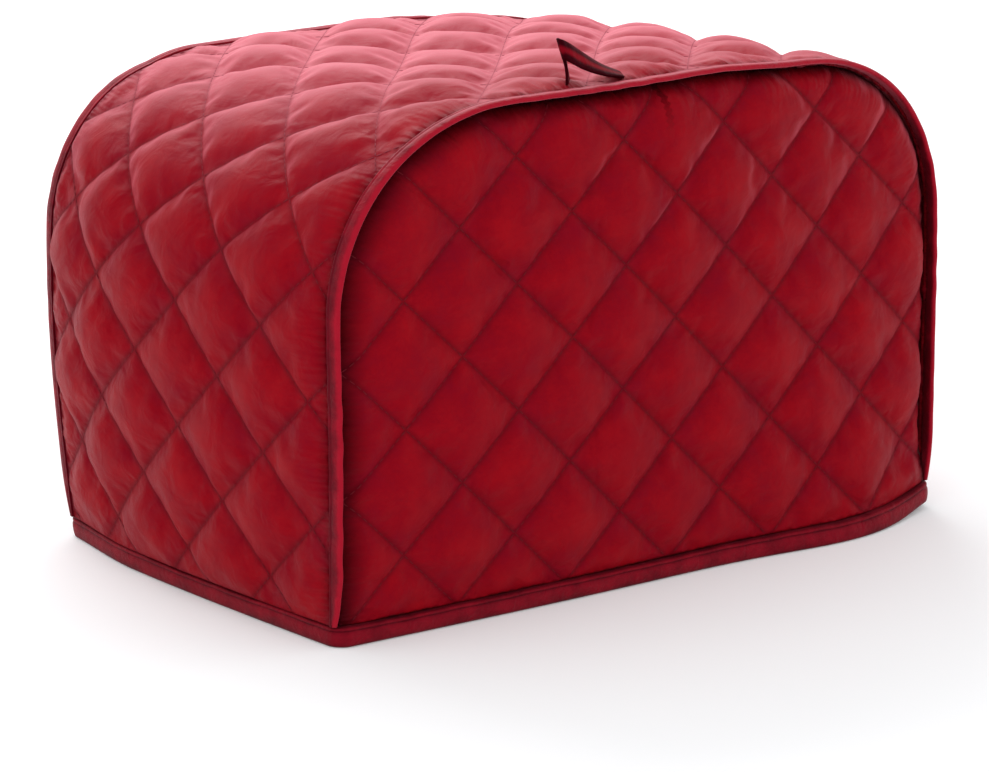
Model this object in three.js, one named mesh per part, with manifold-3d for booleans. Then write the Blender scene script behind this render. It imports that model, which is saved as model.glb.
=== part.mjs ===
// A quilted cover for a two-slice toaster, in millimetres, with +Z up and the front towards -Y.
// Every piece is laid out on a plain box with two rounded upper corners, and the whole is then
// swelled, as padded cloth swells when it stands up by itself.

import * as THREE from 'three';
import { mergeVertices } from 'three/addons/utils/BufferGeometryUtils.js';
import Module from 'manifold-3d';

const wasm = await Module();
wasm.setup();

// The plain box
const width = 300;
const depth = 192.3;
const height = 205;
const topCorner = 77.3; // radius of the two upper corners, seen from the front

// How far the cloth swells out of it
const endBulge = 0.8; // the front outline at mid height
const frontBulge = 3.8; // the front seam at mid height
const backBulge = 9.6; // the back seam at mid height
const frontBowLow = 9.9; // the middle of the front and back, at the hem
const frontBowHigh = 13.2; // and at the top
const frontBowSkew = 0.41; // the bow at the hem is this share fuller towards the right end
const endBow = 3.1; // the middle of each end, at the hem
const endBowSkew = 0.34; // this share fuller towards the back
const endBowMid = 7.4; // and this much more at mid height
const rightProud = 0.6; // the right end stands this much further out

// How far it sinks in where nothing holds it up
const topSag = 3.2; // the middle of the top, across the depth
const topDip = 2.4; // the middle of the top, across the width
const backSink = 8.5; // the back edge of the top
const sinkTop = 201; // it has sunk fully at this height
const sinkSkew = 0.5; // the right half sinks by this share more, the left by as much less
const rightDrop = { down: 5.3, from: 20, over: 65 }; // the top's right shoulder hangs
const backTuck = { inwards: 4.6, from: 36 }; // the cloth rounds over towards the back seam

// The lower right corner of the front stands out and curls up a little
const flare = { out: 12, x: 102.4, spread: 48.4, height: 80 };
const curl = { up: 3.4, x: 150, y: -100.2, spread: 22, height: 60 };

// The quilted cloth
const halfDiagonal = 25.1; // of a quilting diamond
const outerSteps = 4; // facets along a diamond's side, on the outer face
const innerSteps = 2; // and on the inner face
const clothHalf = 1.1; // half of the cloth's thickness at a stitch line
const outerPuff = 4.4; // how far a diamond stands out between its stitch lines
const innerPuff = 1.4;
const unevenness = 0.22; // share by which one diamond's puff differs from the next
const ripple = 0.9; // slow rise and fall of the whole cloth
const rippleLength = { u: 31, v: 26 }; // a wave is 2 pi times as long
const pinchReach = 10; // the seams press the puffs down over this distance
const hemReach = 2.5; // the hem presses them down over a distance so many times shorter

// Where the quilting lines cross: one crossing of each cloth, in its own flat layout
const frontCrossing = { u: 5.5, v: 157.7 };
const backCrossing = { u: -14, v: 151 };
const gussetCrossing = { u: 170.9, v: -55 };

// Seams, bindings and hem
const gap = 0.3; // between neighbouring pieces
const hemGap = 0.45; // between the hem and all that stands on it
const panelInset = 3.6; // a panel's rim lies this far inside the front outline
const panelSet = 0.6; // and its cloth this far in front of the seam
const rimDip = { back: 1.6, over: 12 }; // but its rim is drawn back to the seam
const seamSet = 6.7; // the seams lie this far behind the front of the box
const bindingThickness = 2.4;
const bindingProud = 0.8; // the binding stands this far outside the gusset
const bindingReach = 5.9; // and this far in front of the seam
const foldDepth = 1.6; // the fold at its front rounds off over this depth
const foldCorner = 0.5;
const footTuck = 3; // the reach is this much less at the binding's feet
const footTuckHeight = 24;
const hemHeight = 7.8;
const hemThickness = 5.6;
const hemProud = 0.8;
const hemSet = 1.2; // the hem's front lies this far behind the front of the box
const hemCorner = 7;
const hemEdge = 1.2; // rounding of the hem tape's folded edges

// Steps along the bindings' stretches
const legSteps = 9;
const arcSteps = 12;
const topSteps = 10;
const hemFrontSteps = 26;
const hemEndSteps = 15;
const hemCornerSteps = 6;

// The loop of tape on top: its near and far edge, with heights over the plain box, and feet whose
// height the cloth gives
const loopNear = [
  [-15.5, -88.9, 0], [-25.6, -89.3, 3.9], [-34.6, -88.9, 7.2], [-40.8, -88.5, 10.6],
  [-42.4, -87.2, 11.7], [-40.7, -85.1, 10.9], [-40.6, -86.2, 7.2], [-41.6, -87.4, 0],
];
const loopFar = [
  [-11, -81.5, 0], [-22, -83, 7.4], [-33.6, -84.5, 14.3], [-40.6, -85.4, 18.6],
  [-43.3, -85, 20], [-41.3, -82.9, 19.1], [-38.2, -81.8, 13.8], [-35.2, -81.2, 0],
];
const tapeHalf = 0.55;
const loopSteps = 34;

const seamY = depth / 2 - seamSet;
const clothFoot = hemHeight + hemGap;
const leg = height - topCorner;
const cornerArc = (topCorner * Math.PI) / 2;
const outlineLength = 2 * leg + 2 * cornerArc + width - 2 * topCorner;

const quiltedRed = { color: 0x8e1422, roughness: 0.42, metalness: 0 };
const tapeRed = { color: 0x7c1626, roughness: 0.5, metalness: 0 };

// A hump of height 1 that falls off to nothing over about twice its spread
function hump(distance, spread) {
  return Math.exp(-((distance / spread) ** 2));
}

// From 0 to 1, with a soft start and end
function easeIn(share) {
  return THREE.MathUtils.smoothstep(share, 0, 1);
}

// The swelling of the box; but for the curled corner, its foot stays flat
function swell(x, y, z) {
  const rise = THREE.MathUtils.clamp(z / height, 0, 1);
  const belly = Math.sin(Math.PI * rise);
  const acrossWidth = Math.max(0, 1 - ((2 * x) / width) ** 2);
  const acrossDepth = Math.max(0, 1 - ((2 * y) / depth) ** 2);
  const endFullness = endBow * (1 + (endBowSkew * 2 * y) / depth) + endBowMid * belly;
  const outX = endBulge * belly + endFullness * acrossDepth;
  const lowBow = frontBowLow * (1 + (frontBowSkew * (1 - rise) * 2 * x) / width);
  const bow = THREE.MathUtils.lerp(lowBow, frontBowHigh, rise);
  const outY = (y > 0 ? backBulge : frontBulge) * belly + bow * acrossWidth;
  const towardsBack = THREE.MathUtils.clamp(0.5 + y / depth, 0, 1);
  const nearTop = Math.min(1, Math.max(0, z) / sinkTop) ** 11;
  const sink = backSink * towardsBack * (1 + (sinkSkew * x) / width) * nearTop;
  const drop = rightDrop.down * easeIn((x - rightDrop.from) / rightDrop.over) * rise ** 4;
  const sag = topSag * acrossDepth * rise ** 4 + topDip * acrossWidth * rise ** 2;
  const tuck = backTuck.inwards * easeIn((y - backTuck.from) / (depth / 2 - backTuck.from));
  const sideways = (Math.sign(x) * Math.max(0, Math.abs(x) - width / 2 + topCorner)) / topCorner;
  const upwards = Math.max(0, z - height + topCorner) / topCorner;
  const toRight = rightProud * (Math.max(0, 2 * x) / width) ** 3;
  const towardsFront = THREE.MathUtils.clamp((-2 * y) / depth, 0, 1);
  const flared = flare.out * hump(x - flare.x, flare.spread) * towardsFront;
  const curled = curl.up * hump(Math.hypot(x - curl.x, y - curl.y), curl.spread);
  const lowDown = Math.max(0, 1 - z / flare.height) ** 2;
  const atFoot = Math.max(0, 1 - z / curl.height);
  return [
    x + (outX * 2 * x) / width - tuck * sideways + toRight,
    y + (outY * 2 * y) / depth - flared * lowDown,
    z - sink - drop - sag - tuck * upwards + curled * atFoot,
  ];
}

// A point of the front outline, at a length along it from the left foot and a distance outside it
function outlinePoint(along, out) {
  if (along > outlineLength / 2) {
    const mirrored = outlinePoint(outlineLength - along, out);
    return { x: -mirrored.x, z: mirrored.z };
  }
  if (along < leg) {
    return { x: -width / 2 - out, z: along };
  }
  const centreX = -width / 2 + topCorner;
  if (along < leg + cornerArc) {
    const angle = (along - leg) / topCorner;
    const radius = topCorner + out;
    return { x: centreX - radius * Math.cos(angle), z: leg + radius * Math.sin(angle) };
  }
  return { x: centreX + along - leg - cornerArc, z: height + out };
}

// How far a point of a panel lies inside its bound outline
function insideBinding(u, v) {
  const sideways = width / 2 - Math.abs(u);
  const down = height - v;
  const inCorner = sideways < topCorner && down < topCorner;
  const toCorner = topCorner - Math.hypot(topCorner - sideways, topCorner - down);
  const toRim = inCorner ? toCorner : Math.min(sideways, down);
  return Math.max(0, toRim - panelInset);
}

function toSolid(positions, triangles) {
  const mesh = new wasm.Mesh({
    numProp: 3,
    vertProperties: new Float32Array(positions),
    triVerts: new Uint32Array(triangles),
  });
  return new wasm.Manifold(mesh);
}

function solidFromGeometry(geometry) {
  geometry.deleteAttribute('normal');
  geometry.deleteAttribute('uv');
  const merged = mergeVertices(geometry, 1e-4);
  return toSolid(merged.attributes.position.array, merged.index.array);
}

// A solid's surface, with each of its points moved to where place puts it
function placedGeometry(solid, place) {
  const mesh = solid.getMesh();
  const stride = mesh.numProp;
  const points = [];
  for (let i = 0; i < mesh.vertProperties.length; i += stride) {
    const [u, v, w] = mesh.vertProperties.slice(i, i + 3);
    points.push(...place(u, v, w));
  }
  const geometry = new THREE.BufferGeometry();
  geometry.setAttribute('position', new THREE.Float32BufferAttribute(points, 3));
  geometry.setIndex(Array.from(mesh.triVerts));
  geometry.computeVertexNormals();
  return geometry;
}

// How full one diamond is, from 0 on its stitch lines to 1 in its middle
function fullness(a, b) {
  const pillow = Math.sin(Math.PI * (a - Math.floor(a))) * Math.sin(Math.PI * (b - Math.floor(b)));
  const own = Math.sin(12.9 * Math.floor(a) + 7.3 * Math.floor(b));
  return Math.max(0, pillow) ** 0.6 * (1 + unevenness * own);
}

// The whole diamonds that cover a flat rectangle, counted along the two directions of stitching
function diamondBlock(crossing, low, high) {
  const side = 2 * halfDiagonal;
  return {
    aStart: Math.floor((low.u - crossing.u + low.v - crossing.v) / side),
    aEnd: Math.ceil((high.u - crossing.u + high.v - crossing.v) / side),
    bStart: Math.floor((low.u - crossing.u - high.v + crossing.v) / side),
    bEnd: Math.ceil((high.u - crossing.u - low.v + crossing.v) / side),
  };
}

// One face of the quilted cloth, made solid down to the cloth's middle plane
function quiltLayer(crossing, block, steps, puff, side) {
  const columns = (block.aEnd - block.aStart) * steps;
  const rows = (block.bEnd - block.bStart) * steps;
  const positions = [];
  const triangles = [];
  const vertex = (level, column, row) => (level * (rows + 1) + row) * (columns + 1) + column;
  const addQuad = (p, q, r, s) => {
    triangles.push(...(side > 0 ? [p, r, q, p, s, r] : [p, q, r, p, r, s]));
  };
  for (const level of [0, 1]) {
    for (let row = 0; row <= rows; row += 1) {
      for (let column = 0; column <= columns; column += 1) {
        const a = block.aStart + column / steps;
        const b = block.bStart + row / steps;
        const stitched = column % steps === 0 || row % steps === 0;
        const w = clothHalf + (stitched ? 0 : puff * fullness(a, b));
        positions.push(crossing.u + halfDiagonal * (a + b));
        positions.push(crossing.v + halfDiagonal * (a - b));
        positions.push(side * level * w);
      }
    }
  }
  for (let row = 0; row < rows; row += 1) {
    for (let column = 0; column < columns; column += 1) {
      const [right, up] = [column + 1, row + 1];
      const towardsMiddle = ((column % steps) + 0.5 - steps / 2) * ((row % steps) + 0.5 - steps / 2);
      const face = [[column, row], [right, row], [right, up], [column, up]];
      const turned = towardsMiddle > 0 ? face : [...face.slice(1), face[0]];
      addQuad(...turned.map(([c, r]) => vertex(1, c, r)));
      addQuad(...turned.map(([c, r]) => vertex(0, c, r)).reverse());
    }
  }
  for (let column = 0; column < columns; column += 1) {
    const next = column + 1;
    addQuad(vertex(0, column, 0), vertex(0, next, 0), vertex(1, next, 0), vertex(1, column, 0));
    addQuad(vertex(0, next, rows), vertex(0, column, rows), vertex(1, column, rows),
      vertex(1, next, rows));
  }
  for (let row = 0; row < rows; row += 1) {
    const next = row + 1;
    addQuad(vertex(0, 0, next), vertex(0, 0, row), vertex(1, 0, row), vertex(1, 0, next));
    addQuad(vertex(0, columns, row), vertex(0, columns, next), vertex(1, columns, next),
      vertex(1, columns, row));
  }
  return toSolid(positions, triangles);
}

// Quilted cloth lying flat, cut out along a flat outline
function cutCloth(crossing, shape, low, high) {
  const block = diamondBlock(crossing, low, high);
  const outer = quiltLayer(crossing, block, outerSteps, outerPuff, 1);
  const inner = quiltLayer(crossing, block, innerSteps, innerPuff, -1);
  const tall = 4 * (outerPuff + clothHalf);
  const cutter = new THREE.ExtrudeGeometry(shape, { depth: tall, bevelEnabled: false, curveSegments: 12 });
  cutter.translate(0, 0, -tall / 2);
  return outer.add(inner).intersect(solidFromGeometry(cutter));
}

// The height of a point of the cloth once the seams press it down and it ripples
function settled(u, v, w, distanceToSeam) {
  const free = Math.min(1, distanceToSeam / pinchReach) ** 0.7;
  const face = Math.sign(w) * Math.min(Math.abs(w), clothHalf);
  const wave = ripple * Math.sin(u / rippleLength.u + 1.3) * Math.cos(v / rippleLength.v + 0.5);
  return face + (w - face) * free + wave * free;
}

function panelShape(inset) {
  const side = width / 2 - inset;
  const radius = topCorner - inset;
  const shape = new THREE.Shape();
  shape.moveTo(-side, clothFoot);
  shape.lineTo(side, clothFoot);
  shape.lineTo(side, leg);
  shape.absarc(side - radius, leg, radius, 0, Math.PI / 2, false);
  shape.lineTo(-side + radius, height - inset);
  shape.absarc(-side + radius, leg, radius, Math.PI / 2, Math.PI, false);
  shape.lineTo(-side, clothFoot);
  return shape;
}

function gussetShape() {
  const shape = new THREE.Shape();
  shape.moveTo(clothFoot, -seamY);
  shape.lineTo(outlineLength - clothFoot, -seamY);
  shape.lineTo(outlineLength - clothFoot, seamY);
  shape.lineTo(clothFoot, seamY);
  shape.closePath();
  return shape;
}

// The front or back panel, turned up from its flat layout; facing is -1 for the front
function quiltedPanel(crossing, facing) {
  const low = { u: -width / 2, v: 0 };
  const high = { u: width / 2, v: height };
  const cloth = cutCloth(crossing, panelShape(panelInset), low, high);
  return placedGeometry(cloth, (u, v, w) => {
    const fromBinding = insideBinding(u, v);
    const rise = settled(u, v, w, Math.min(fromBinding, hemReach * (v - clothFoot)));
    const dip = rimDip.back * Math.max(0, 1 - fromBinding / rimDip.over) ** 2;
    return swell(-facing * u, facing * (seamY + panelSet + clothHalf + rise - dip), v);
  });
}

// How far a point of the gusset's flat layout lies from its nearest edge
function insideGusset(u, v) {
  const toEnds = Math.min(u - clothFoot, outlineLength - clothFoot - u);
  return Math.max(0, Math.min(hemReach * toEnds, seamY - Math.abs(v)));
}

// How high the gusset's outer face stands over the plain box
function gussetRise(u, v) {
  const across = (u - gussetCrossing.u) / (2 * halfDiagonal);
  const up = (v - gussetCrossing.v) / (2 * halfDiagonal);
  const w = clothHalf + outerPuff * fullness(across + up, across - up);
  return settled(u, v, w, insideGusset(u, v)) - clothHalf;
}

// The long strip that goes up the left end, over the top and down the right end
function quiltedGusset() {
  const low = { u: 0, v: -seamY };
  const high = { u: outlineLength, v: seamY };
  const cloth = cutCloth(gussetCrossing, gussetShape(), low, high);
  return placedGeometry(cloth, (u, v, w) => {
    const rise = settled(u, v, w, insideGusset(u, v));
    const { x, z } = outlinePoint(u, rise - clothHalf);
    return swell(x, v, z);
  });
}

// A skin over rings of points; with closed set, the last ring joins the first
function skin(rings, closed) {
  const count = rings[0].length;
  const triangles = [];
  const last = closed ? rings.length : rings.length - 1;
  for (let i = 0; i < last; i += 1) {
    const next = (i + 1) % rings.length;
    for (let j = 0; j < count; j += 1) {
      const beside = (j + 1) % count;
      const [p, q] = [i * count + j, i * count + beside];
      const [r, s] = [next * count + beside, next * count + j];
      triangles.push(p, q, r, p, r, s);
    }
  }
  if (!closed) {
    const end = (rings.length - 1) * count;
    for (let j = 1; j < count - 1; j += 1) {
      triangles.push(0, j + 1, j);
      triangles.push(end, end + j, end + j + 1);
    }
  }
  const geometry = new THREE.BufferGeometry();
  geometry.setAttribute('position', new THREE.Float32BufferAttribute(rings.flat(2), 3));
  geometry.setIndex(triangles);
  geometry.computeVertexNormals();
  return geometry;
}

// Lengths along the outline at which a binding gets a ring of points
function bindingStations() {
  const stretches = [
    [clothFoot, leg, legSteps],
    [leg, leg + cornerArc, arcSteps],
    [leg + cornerArc, outlineLength - leg - cornerArc, topSteps],
    [outlineLength - leg - cornerArc, outlineLength - leg, arcSteps],
    [outlineLength - leg, outlineLength - clothFoot, legSteps],
  ];
  const stations = [clothFoot];
  for (const [start, end, steps] of stretches) {
    for (let i = 1; i <= steps; i += 1) {
      stations.push(start + ((end - start) * i) / steps);
    }
  }
  return stations;
}

// The folded tape round a seam, a flat fin with a rounded front; facing is -1 for the front
function seamBinding(facing) {
  const out = bindingProud;
  const inside = bindingProud - bindingThickness;
  const middle = (out + inside) / 2;
  const rings = bindingStations().map((along) => {
    const { z: heightHere } = outlinePoint(along, 0);
    const low = Math.max(0, 1 - (heightHere - clothFoot) / footTuckHeight);
    const reach = bindingReach - footTuck * low ** 2;
    const section = [
      [inside, gap],
      [out, gap],
      [out, reach - foldDepth],
      [out - foldCorner, reach - foldCorner],
      [middle, reach],
      [inside + foldCorner, reach - foldCorner],
      [inside, reach - foldDepth],
    ];
    return section.map(([outwards, forwards]) => {
      const { x, z } = outlinePoint(along, outwards);
      return swell(x, facing * (seamY + forwards), z);
    });
  });
  return skin(facing > 0 ? rings.map((ring) => [...ring].reverse()) : rings, false);
}

// Points round the hem, seen from above, each with the direction that leads outwards
function hemStations() {
  const halfX = width / 2 + hemProud - hemCorner;
  const halfY = depth / 2 - hemSet - hemCorner;
  const stations = [];
  const corners = [[1, -1, -90], [1, 1, 0], [-1, 1, 90], [-1, -1, 180]];
  corners.forEach(([sideX, sideY, startDegrees], index) => {
    for (let i = 0; i <= hemCornerSteps; i += 1) {
      const angle = THREE.MathUtils.degToRad(startDegrees + (90 * i) / hemCornerSteps);
      stations.push({ x: sideX * halfX, y: sideY * halfY, outX: Math.cos(angle), outY: Math.sin(angle) });
    }
    const [nextX, nextY] = corners[(index + 1) % corners.length];
    const runs = sideX === nextX ? hemEndSteps : hemFrontSteps;
    const end = stations[stations.length - 1];
    for (let i = 1; i < runs; i += 1) {
      const share = i / runs;
      const x = THREE.MathUtils.lerp(sideX * halfX, nextX * halfX, share);
      const y = THREE.MathUtils.lerp(sideY * halfY, nextY * halfY, share);
      stations.push({ x, y, outX: end.outX, outY: end.outY });
    }
  });
  return stations;
}

// The folded tape round the lower edge, flat underneath, on which the cover stands
function hemBinding() {
  const section = [
    [-hemThickness, 0],
    [-hemEdge / 2, 0],
    [0, hemEdge],
    [0, hemHeight - hemEdge],
    [-hemEdge, hemHeight],
    [-hemThickness, hemHeight],
  ];
  const rings = hemStations().map((station) =>
    section.map(([outwards, z]) => {
      const reach = hemCorner + outwards;
      return swell(station.x + station.outX * reach, station.y + station.outY * reach, z);
    })
  );
  return skin(rings.map((ring) => [...ring].reverse()), true);
}

// An edge of the loop, as a curve whose first and last point stand on the gusset
function loopEdge(points) {
  const last = points.length - 1;
  const vectors = points.map(([x, y, z], index) => {
    const isFoot = index === 0 || index === last;
    const footing = gussetRise(outlineLength / 2 + x, y) + tapeHalf + gap;
    return new THREE.Vector3(x, y, isFoot ? footing : z);
  });
  return new THREE.CatmullRomCurve3(vectors, false, 'catmullrom', 0.5);
}

// The tape loop: up from its right foot, over a sharp fold and down to its left foot
function topLoop() {
  const near = loopEdge(loopNear);
  const far = loopEdge(loopFar);
  const rings = [];
  for (let i = 0; i <= loopSteps; i += 1) {
    const share = i / loopSteps;
    const [nearPoint, farPoint] = [near.getPoint(share), far.getPoint(share)];
    const onwards = near.getTangent(share).add(far.getTangent(share));
    const across = farPoint.clone().sub(nearPoint);
    const facing = onwards.cross(across).normalize().multiplyScalar(tapeHalf);
    const corners = [
      nearPoint.clone().sub(facing),
      farPoint.clone().sub(facing),
      farPoint.clone().add(facing),
      nearPoint.clone().add(facing),
    ];
    rings.push(corners.map(({ x, y, z }) => swell(x, y, height + z)));
  }
  return skin(rings, false);
}

function namedMesh(name, geometry, finish) {
  const mesh = new THREE.Mesh(geometry, new THREE.MeshStandardMaterial(finish));
  mesh.name = name;
  return mesh;
}

const group = new THREE.Group();
group.add(namedMesh('front_panel', quiltedPanel(frontCrossing, -1), quiltedRed));
group.add(namedMesh('back_panel', quiltedPanel(backCrossing, 1), quiltedRed));
group.add(namedMesh('gusset', quiltedGusset(), quiltedRed));
group.add(namedMesh('front_binding', seamBinding(-1), tapeRed));
group.add(namedMesh('back_binding', seamBinding(1), tapeRed));
group.add(namedMesh('hem_binding', hemBinding(), tapeRed));
group.add(namedMesh('top_loop', topLoop(), tapeRed));

// The puffs differ a little from side to side, so the whole is centred over the origin
const bounds = new THREE.Box3().setFromObject(group);
const middle = bounds.getCenter(new THREE.Vector3());
group.position.set(-middle.x, -middle.y, -bounds.min.z);

export default group;
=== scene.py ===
import math

import bpy
import numpy as np
from mathutils import Matrix, Vector


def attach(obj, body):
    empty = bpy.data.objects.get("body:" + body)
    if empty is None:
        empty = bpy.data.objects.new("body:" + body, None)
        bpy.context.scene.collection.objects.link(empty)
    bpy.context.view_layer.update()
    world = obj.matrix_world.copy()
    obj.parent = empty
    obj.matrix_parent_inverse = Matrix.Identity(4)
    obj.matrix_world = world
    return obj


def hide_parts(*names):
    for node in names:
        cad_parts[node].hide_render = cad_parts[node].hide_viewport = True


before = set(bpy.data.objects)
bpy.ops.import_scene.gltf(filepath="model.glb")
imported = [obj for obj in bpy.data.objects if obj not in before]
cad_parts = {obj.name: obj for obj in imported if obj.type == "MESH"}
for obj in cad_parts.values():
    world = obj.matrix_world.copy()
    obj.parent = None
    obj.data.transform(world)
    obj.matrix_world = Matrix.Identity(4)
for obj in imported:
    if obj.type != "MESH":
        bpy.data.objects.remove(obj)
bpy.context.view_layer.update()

# The cover as it was cut and sewn, in millimetres: a plain box with two rounded upper corners
cover = {
    "width": 300.0,
    "depth": 192.3,
    "height": 205.0,
    "corner": 77.3,  # radius of the upper corners, seen from the front
    "seamSet": 6.7,  # the seams lie this far behind the front of the box
    "hemHeight": 7.8,
    "hemGap": 0.45,  # between the hem and all that stands on it
    "hemReach": 2.5,  # the puffs come down beside the hem this much more steeply than at the seams
    "gap": 0.3,
    "panelInset": 2.5,  # a panel's rim lies this far inside the outline
    "panelSet": 0.6,  # and its cloth this far in front of the seam
    "rimDip": (5.5, 10.0),  # but its rim is drawn back by this much, over this distance
    "dipFade": (22.0, 0.15),  # near the hem, over this height, the rim is drawn back by this share only
    "cornerCuts": 12,
    "middle": (-0.813, -2.361),  # the finished cover is centred on the origin by this much
}

# How far the cloth swells out of that box, and sinks in where nothing holds it up
fullnessOf = {
    "endBulge": 0.8,
    "frontBulge": 3.8,
    "backBulge": 9.6,
    "frontBowLow": 9.9,
    "frontBowHigh": 13.2,
    "frontBowSkew": 0.41,
    "endBow": 3.1,
    "endBowSkew": 0.34,
    "endBowMid": 7.4,
    "rightProud": 0.6,
    "topSag": 3.2,
    "topDip": 2.4,
    "backSink": 8.5,
    "sinkTop": 201.0,
    "sinkPower": 11,
    "sinkSkew": 0.5,
    "rightDrop": {"down": 5.3, "from": 20.0, "over": 65.0},
    "backTuck": {"inwards": 4.6, "from": 36.0},
    "flare": {"out": 12.0, "x": 102.4, "spread": 48.4, "height": 80.0},
    "curl": {"up": 3.4, "x": 150.0, "y": -100.2, "spread": 22.0, "height": 60.0},
}

metres = 0.001  # to a millimetre
mapScale = 0.1  # units of a flat layout's map to the millimetre

leg = cover["height"] - cover["corner"]
cornerArc = cover["corner"] * math.pi / 2
outlineLength = 2 * leg + 2 * cornerArc + cover["width"] - 2 * cover["corner"]
seamY = cover["depth"] / 2 - cover["seamSet"]
clothFoot = cover["hemHeight"] + cover["hemGap"]
# the lowest and highest place in each flat layout
panelSpan = ((-cover["width"] / 2, 0), (cover["width"] / 2, cover["height"]))
gussetSpan = ((0, -seamY), (outlineLength, seamY))


def hump(distance, spread):
    return np.exp(-((distance / spread) ** 2))


def easeIn(share):
    share = np.clip(share, 0, 1)
    return share * share * (3 - 2 * share)


def swellOut(x, y, z):
    # the sewn box, swelled as padded cloth swells when it stands up by itself
    full = fullnessOf
    width, depth, corner = cover["width"], cover["depth"], cover["corner"]
    rise = np.clip(z / cover["height"], 0, 1)
    belly = np.sin(np.pi * rise)
    acrossWidth = np.maximum(0, 1 - (2 * x / width) ** 2)
    acrossDepth = np.maximum(0, 1 - (2 * y / depth) ** 2)
    endFullness = full["endBow"] * (1 + full["endBowSkew"] * 2 * y / depth) + full["endBowMid"] * belly
    outX = full["endBulge"] * belly + endFullness * acrossDepth
    lowBow = full["frontBowLow"] * (1 + full["frontBowSkew"] * (1 - rise) * 2 * x / width)
    bow = lowBow * (1 - rise) + full["frontBowHigh"] * rise
    outY = np.where(y > 0, full["backBulge"], full["frontBulge"]) * belly + bow * acrossWidth
    towardsBack = np.clip(0.5 + y / depth, 0, 1)
    nearTop = np.clip(z / full["sinkTop"], 0, 1) ** full["sinkPower"]
    sink = full["backSink"] * towardsBack * (1 + full["sinkSkew"] * x / width) * nearTop
    drop, tuck = full["rightDrop"], full["backTuck"]
    dropped = drop["down"] * easeIn((x - drop["from"]) / drop["over"]) * rise ** 4
    sag = full["topSag"] * acrossDepth * rise ** 4 + full["topDip"] * acrossWidth * rise ** 2
    tucked = tuck["inwards"] * easeIn((y - tuck["from"]) / (depth / 2 - tuck["from"]))
    sideways = np.sign(x) * np.maximum(0, np.abs(x) - width / 2 + corner) / corner
    upwards = np.maximum(0, z - cover["height"] + corner) / corner
    toRight = full["rightProud"] * (np.maximum(0, 2 * x) / width) ** 3
    towardsFront = np.clip(-2 * y / depth, 0, 1)
    flare, curl = full["flare"], full["curl"]
    flared = flare["out"] * hump(x - flare["x"], flare["spread"]) * towardsFront
    flared = flared * np.maximum(0, 1 - z / flare["height"]) ** 2
    curled = curl["up"] * hump(np.hypot(x - curl["x"], y - curl["y"]), curl["spread"])
    curled = curled * np.clip(1 - z / curl["height"], 0, 1)
    return np.column_stack([
        x + outX * 2 * x / width - tucked * sideways + toRight + cover["middle"][0],
        y + outY * 2 * y / depth - flared + cover["middle"][1],
        z - sink - dropped - sag - tucked * upwards + curled,
    ])


def outlinePoint(along, out):
    # a point of the front outline, at a length from its left foot and a distance outside it
    toFoot = np.minimum(along, outlineLength - along)
    side = np.where(along > outlineLength / 2, 1.0, -1.0)
    angle = np.clip((toFoot - leg) / cover["corner"], 0, np.pi / 2)
    radius = cover["corner"] + out
    inwards = np.maximum(0, toFoot - leg - cornerArc)
    x = cover["width"] / 2 - cover["corner"] + radius * np.cos(angle) - inwards
    return side * x, np.minimum(toFoot, leg) + radius * np.sin(angle)


def insideBinding(u, v):
    # how far a point of a panel lies inside its bound outline
    sideways = cover["width"] / 2 - np.abs(u)
    down = cover["height"] - v
    corner = cover["corner"]
    toCorner = corner - np.hypot(corner - sideways, corner - down)
    inCorner = (sideways < corner) & (down < corner)
    rim = np.where(inCorner, toCorner, np.minimum(sideways, down))
    return np.maximum(0, rim - cover["panelInset"])


def alongBinding(u, v):
    # where a point of a panel lies along its binding
    fromMiddle = cover["width"] / 2 - cover["corner"]
    angle = np.clip(np.arctan2(v - leg, np.abs(u) - fromMiddle), 0, np.pi / 2)
    inwards = np.where(v > leg, np.maximum(0, fromMiddle - np.abs(u)), 0)
    return np.sign(u) * (np.minimum(v, leg) + cover["corner"] * angle + inwards) + 1000


def insidePanel(u, v):
    # the same, counting the hem, beside which the cloth rises soon
    return np.maximum(0, np.minimum(insideBinding(u, v), cover["hemReach"] * (v - clothFoot)))


def alongGusset(u, v):
    return u


def besideGusset(u, v):
    return np.maximum(0, seamY - np.abs(v))


def insideGusset(u, v):
    toEnds = np.minimum(u - clothFoot, outlineLength - clothFoot - u)
    return np.maximum(0, np.minimum(cover["hemReach"] * toEnds, seamY - np.abs(v)))


def panelUp(u, v):
    # how far a panel faces up, without its puffs
    return 0 * u


def gussetUp(u, v):
    toFoot = np.minimum(u, outlineLength - u)
    return np.sin(np.clip((toFoot - leg) / cover["corner"], 0, np.pi / 2))


def pointsOf(piece):
    points = np.empty(len(piece.data.vertices) * 3, np.float32)
    piece.data.vertices.foreach_get("co", points)
    return points.reshape(-1, 3).astype(float)


def movePoints(piece, points):
    piece.data.vertices.foreach_set("co", np.asarray(points, np.float32).ravel())
    piece.data.update()


def select(piece):
    bpy.ops.object.select_all(action="DESELECT")
    piece.select_set(True)
    bpy.context.view_layer.objects.active = piece


def edit(piece):
    select(piece)
    bpy.ops.object.mode_set(mode="EDIT")
    bpy.ops.mesh.select_all(action="SELECT")


def done():
    bpy.ops.object.mode_set(mode="OBJECT")


def newAttribute(mesh, name, domain, values):
    attribute = mesh.attributes.new(name, "FLOAT", domain)
    attribute.data.foreach_set("value", np.asarray(values, np.float32).ravel())


def cornersOf(mesh):
    # the point that each face's corner stands on
    corners = np.empty(len(mesh.loops), np.int32)
    mesh.loops.foreach_get("vertex_index", corners)
    return corners


def keepFlat(mesh, layer, flat):
    # a piece's flat layout is kept as its own map, one unit to the centimetre
    layer.data.foreach_set("uv", (flat[cornersOf(mesh)] * mapScale).astype(np.float32).ravel())


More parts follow.
